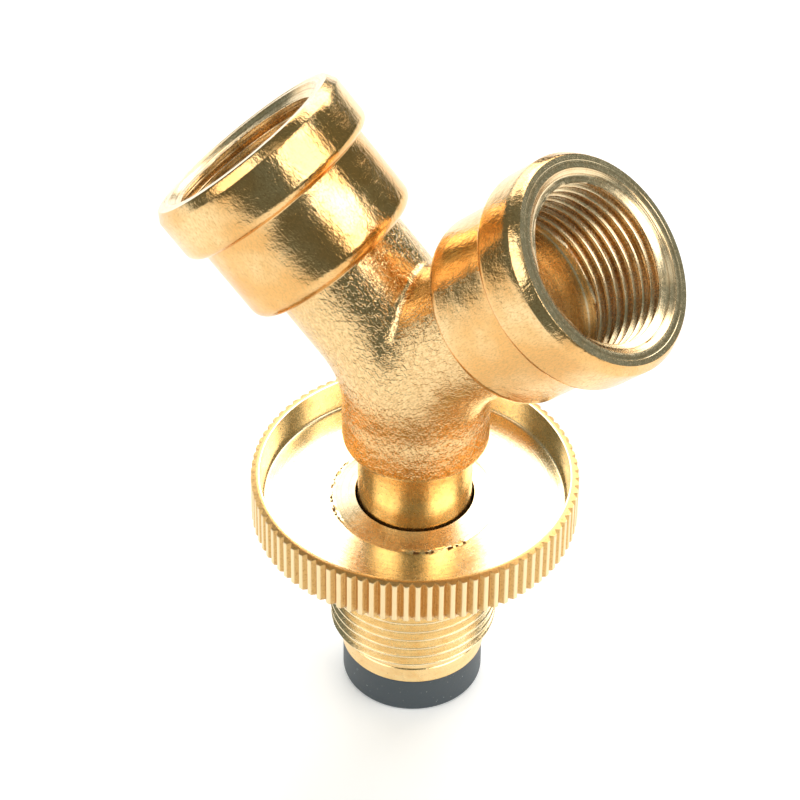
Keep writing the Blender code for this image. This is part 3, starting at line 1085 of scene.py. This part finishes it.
def burr_height(angles):
    """How far the burr stands at each angle: two stretches of the edge, broken up by waves."""
    def stretch(middle_deg, half_width_deg):
        off = (np.degrees(angles) - middle_deg + 180.0) % 360.0 - 180.0
        return np.clip(1.0 - (off / half_width_deg) ** 4, 0.0, 1.0)

    waves = (np.sin(angles * 61.0) + np.sin(angles * 97.0 + 1.3) + np.sin(angles * 151.0 + 0.4)) / 3.0
    cover = np.maximum(stretch(200.0, 38.0), 0.9 * stretch(312.0, 26.0))
    return cover * np.clip(0.5 + 0.9 * waves, 0.0, 1.0)


# %% Cup surface
# Rows over the burr in mm: outwards from the cone's foot, share of the raggedness, height above
# the floor, and what the burr adds to that height.
BURR_SECTION = ((0.42, 0.0, 0.0, 0.0), (0.22, 1.0, 0.0, -0.16), (0.12, 1.0, 0.0, -0.14),
                (0.10, 1.0, 0.08, 0.30), (-0.02, 1.0, 0.12, 0.32), (-0.22, 0.5, 0.15, 0.04))


def cup_rows():
    """Cup surface from the ring's middle down the wall, over the floor and cone, to the bore.

    Gives the rows of (radius, height) and the number of the row where the burr starts.
    """
    a = WHEEL_ANGLES
    burr = burr_height(a)
    one = np.ones_like(a)
    rows = [((RING_INNER + RING_OUTER) / 2.0 * one, RIM_TOP * one),
            ((RING_INNER + 0.06 * MM) * one, RIM_TOP * one),
            (RING_INNER * one, (RIM_TOP - 0.06 * MM) * one)]
    foot = 23.25 * MM
    fillet = 0.45 * MM
    wall = outline(
        line((RING_INNER - 0.03 * MM, RIM_TOP - 0.5 * MM), (foot + 0.5 * MM, CUP_FLOOR + 0.7 * MM), 8),
        arc((foot, CUP_FLOOR + fillet), fillet, 0, -90, 6),
        line((foot - 0.65 * MM, CUP_FLOOR), (CONE_OUTER + 0.9 * MM, CUP_FLOOR), 22))
    rows += [(r * one, z * one) for r, z in wall]
    burr_row = len(rows)
    ragged = 0.14 * MM * burr * np.sin(a * 83.0 + 2.0)
    for out, share, base, gain in BURR_SECTION:
        rows.append((CONE_OUTER + out * MM + share * ragged, CUP_FLOOR + (base + gain * burr) * MM))
    corner = 0.06 * MM
    bevel = 0.3 * MM
    cone = outline(
        line((CONE_OUTER - 0.5 * MM, CUP_FLOOR + 0.25 * MM), (BORE_RADIUS + corner, CONE_TOP), 8),
        line((BORE_RADIUS, CONE_TOP - corner), (BORE_RADIUS, HUB_BOTTOM + bevel), 8),
        line((BORE_RADIUS + bevel, HUB_BOTTOM), (THREAD_MINOR - LEAD_IN_DEPTH, HUB_BOTTOM), 4))
    rows += [(r * one, z * one) for r, z in cone]
    return rows, burr_row


# %% Where the burr's crevice is painted dark as shade
TURNED, KNURLED, SHADED_CREVICE = 0, 1, 2
CREVICE_ROWS = 3
CREVICE_FROM = 0.45


def crevice_shade_faces(row_count, burr_row):
    """The finish of each face of the cup: a dark brown painted shade in the real crevice outside the cone
    where the burr stands.
    """
    burr = burr_height(WHEEL_ANGLES)
    finish = np.full((row_count - 1, len(WHEEL_ANGLES)), TURNED)
    # The crevice rows get the dark brown finish, a painted shade over the real groove.
    finish[burr_row:burr_row + CREVICE_ROWS] = np.where(burr > CREVICE_FROM, SHADED_CREVICE, TURNED)
    print("faces with burr", int((finish == SHADED_CREVICE).sum()))
    return finish.ravel()


# %% Threaded hub and underside
def hub_radius(height, angle):
    """The thread, inside the cone of its chamfered start, run out into the relief groove."""
    thread = thread_radius(height, angle, THREAD_MINOR, THREAD_MAJOR)
    lead_in = THREAD_MINOR - LEAD_IN_DEPTH + (height - HUB_BOTTOM) * LEAD_IN_SLOPE
    run_out = np.clip((RELIEF_LOW - height) / (0.8 * MM), 0.0, 1.0)
    return np.minimum(RELIEF_RADIUS + (thread - RELIEF_RADIUS) * run_out, lead_in)


def underside():
    """(radius, height) from the relief groove round its corner and out under the wheel."""
    corner = 0.6 * MM
    return outline(line((RELIEF_RADIUS, RELIEF_LOW), (RELIEF_RADIUS, RIM_BOTTOM - corner), 4),
                   arc((RELIEF_RADIUS + corner, RIM_BOTTOM - corner), corner, 180, 90, 6),
                   line((RELIEF_RADIUS + 1.0 * MM, RIM_BOTTOM), (RIM_RADIUS - 2.0 * MM, RIM_BOTTOM), 6))


# %% Fans between coarse and fine rings
def stitch(coarse_first, coarse_count, fine_first, fine_count):
    """Flat faces between a ring of few points and one of many: a fan edge for each coarse one."""
    ratio = fine_count // coarse_count
    j = np.arange(coarse_count)[:, None]
    fine = fine_first + (j * ratio + np.arange(ratio, -1, -1)) % fine_count
    return np.hstack([coarse_first + j, coarse_first + (j + 1) % coarse_count, fine]).tolist()


# %% The whole wheel
def build_wheel():
    """Rim, cup, thread and underside patches, joined by flat fans on the ring and the underside."""
    rim = rim_grid()
    rows, burr_row = cup_rows()
    radius = np.stack([row[0] for row in rows])
    height = np.stack([row[1] for row in rows])
    radius[0] -= 0.1 * MM
    cup = STEM_AXIS.place(radius, height, WHEEL_ANGLES[None, :])
    under = turned_patch(STEM_AXIS, underside()[::-1], WHEEL_ANGLES)
    thread = thread_patch(STEM_AXIS, HUB_BOTTOM, RELIEF_LOW, hub_radius, len(WHEEL_ANGLES))
    rim_points = rim.shape[0] * rim.shape[1]
    cup_points = cup.shape[0] * cup.shape[1]
    fans = stitch(rim_points, len(WHEEL_ANGLES), 0, len(RIM_ANGLES))
    fans += stitch(rim_points + cup_points, len(WHEEL_ANGLES), rim_points - len(RIM_ANGLES), len(RIM_ANGLES))
    patches = [Patch(rim, STEM_AXIS, KNURLED),
               Patch(cup, STEM_AXIS, crevice_shade_faces(len(rows), burr_row)), under, thread]
    return make_piece("hand_wheel", patches, [wheel_brass, knurled_brass, crevice_shade_brass], fans)


wheel = build_wheel()
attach(wheel, "wheel")
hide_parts("handwheel")
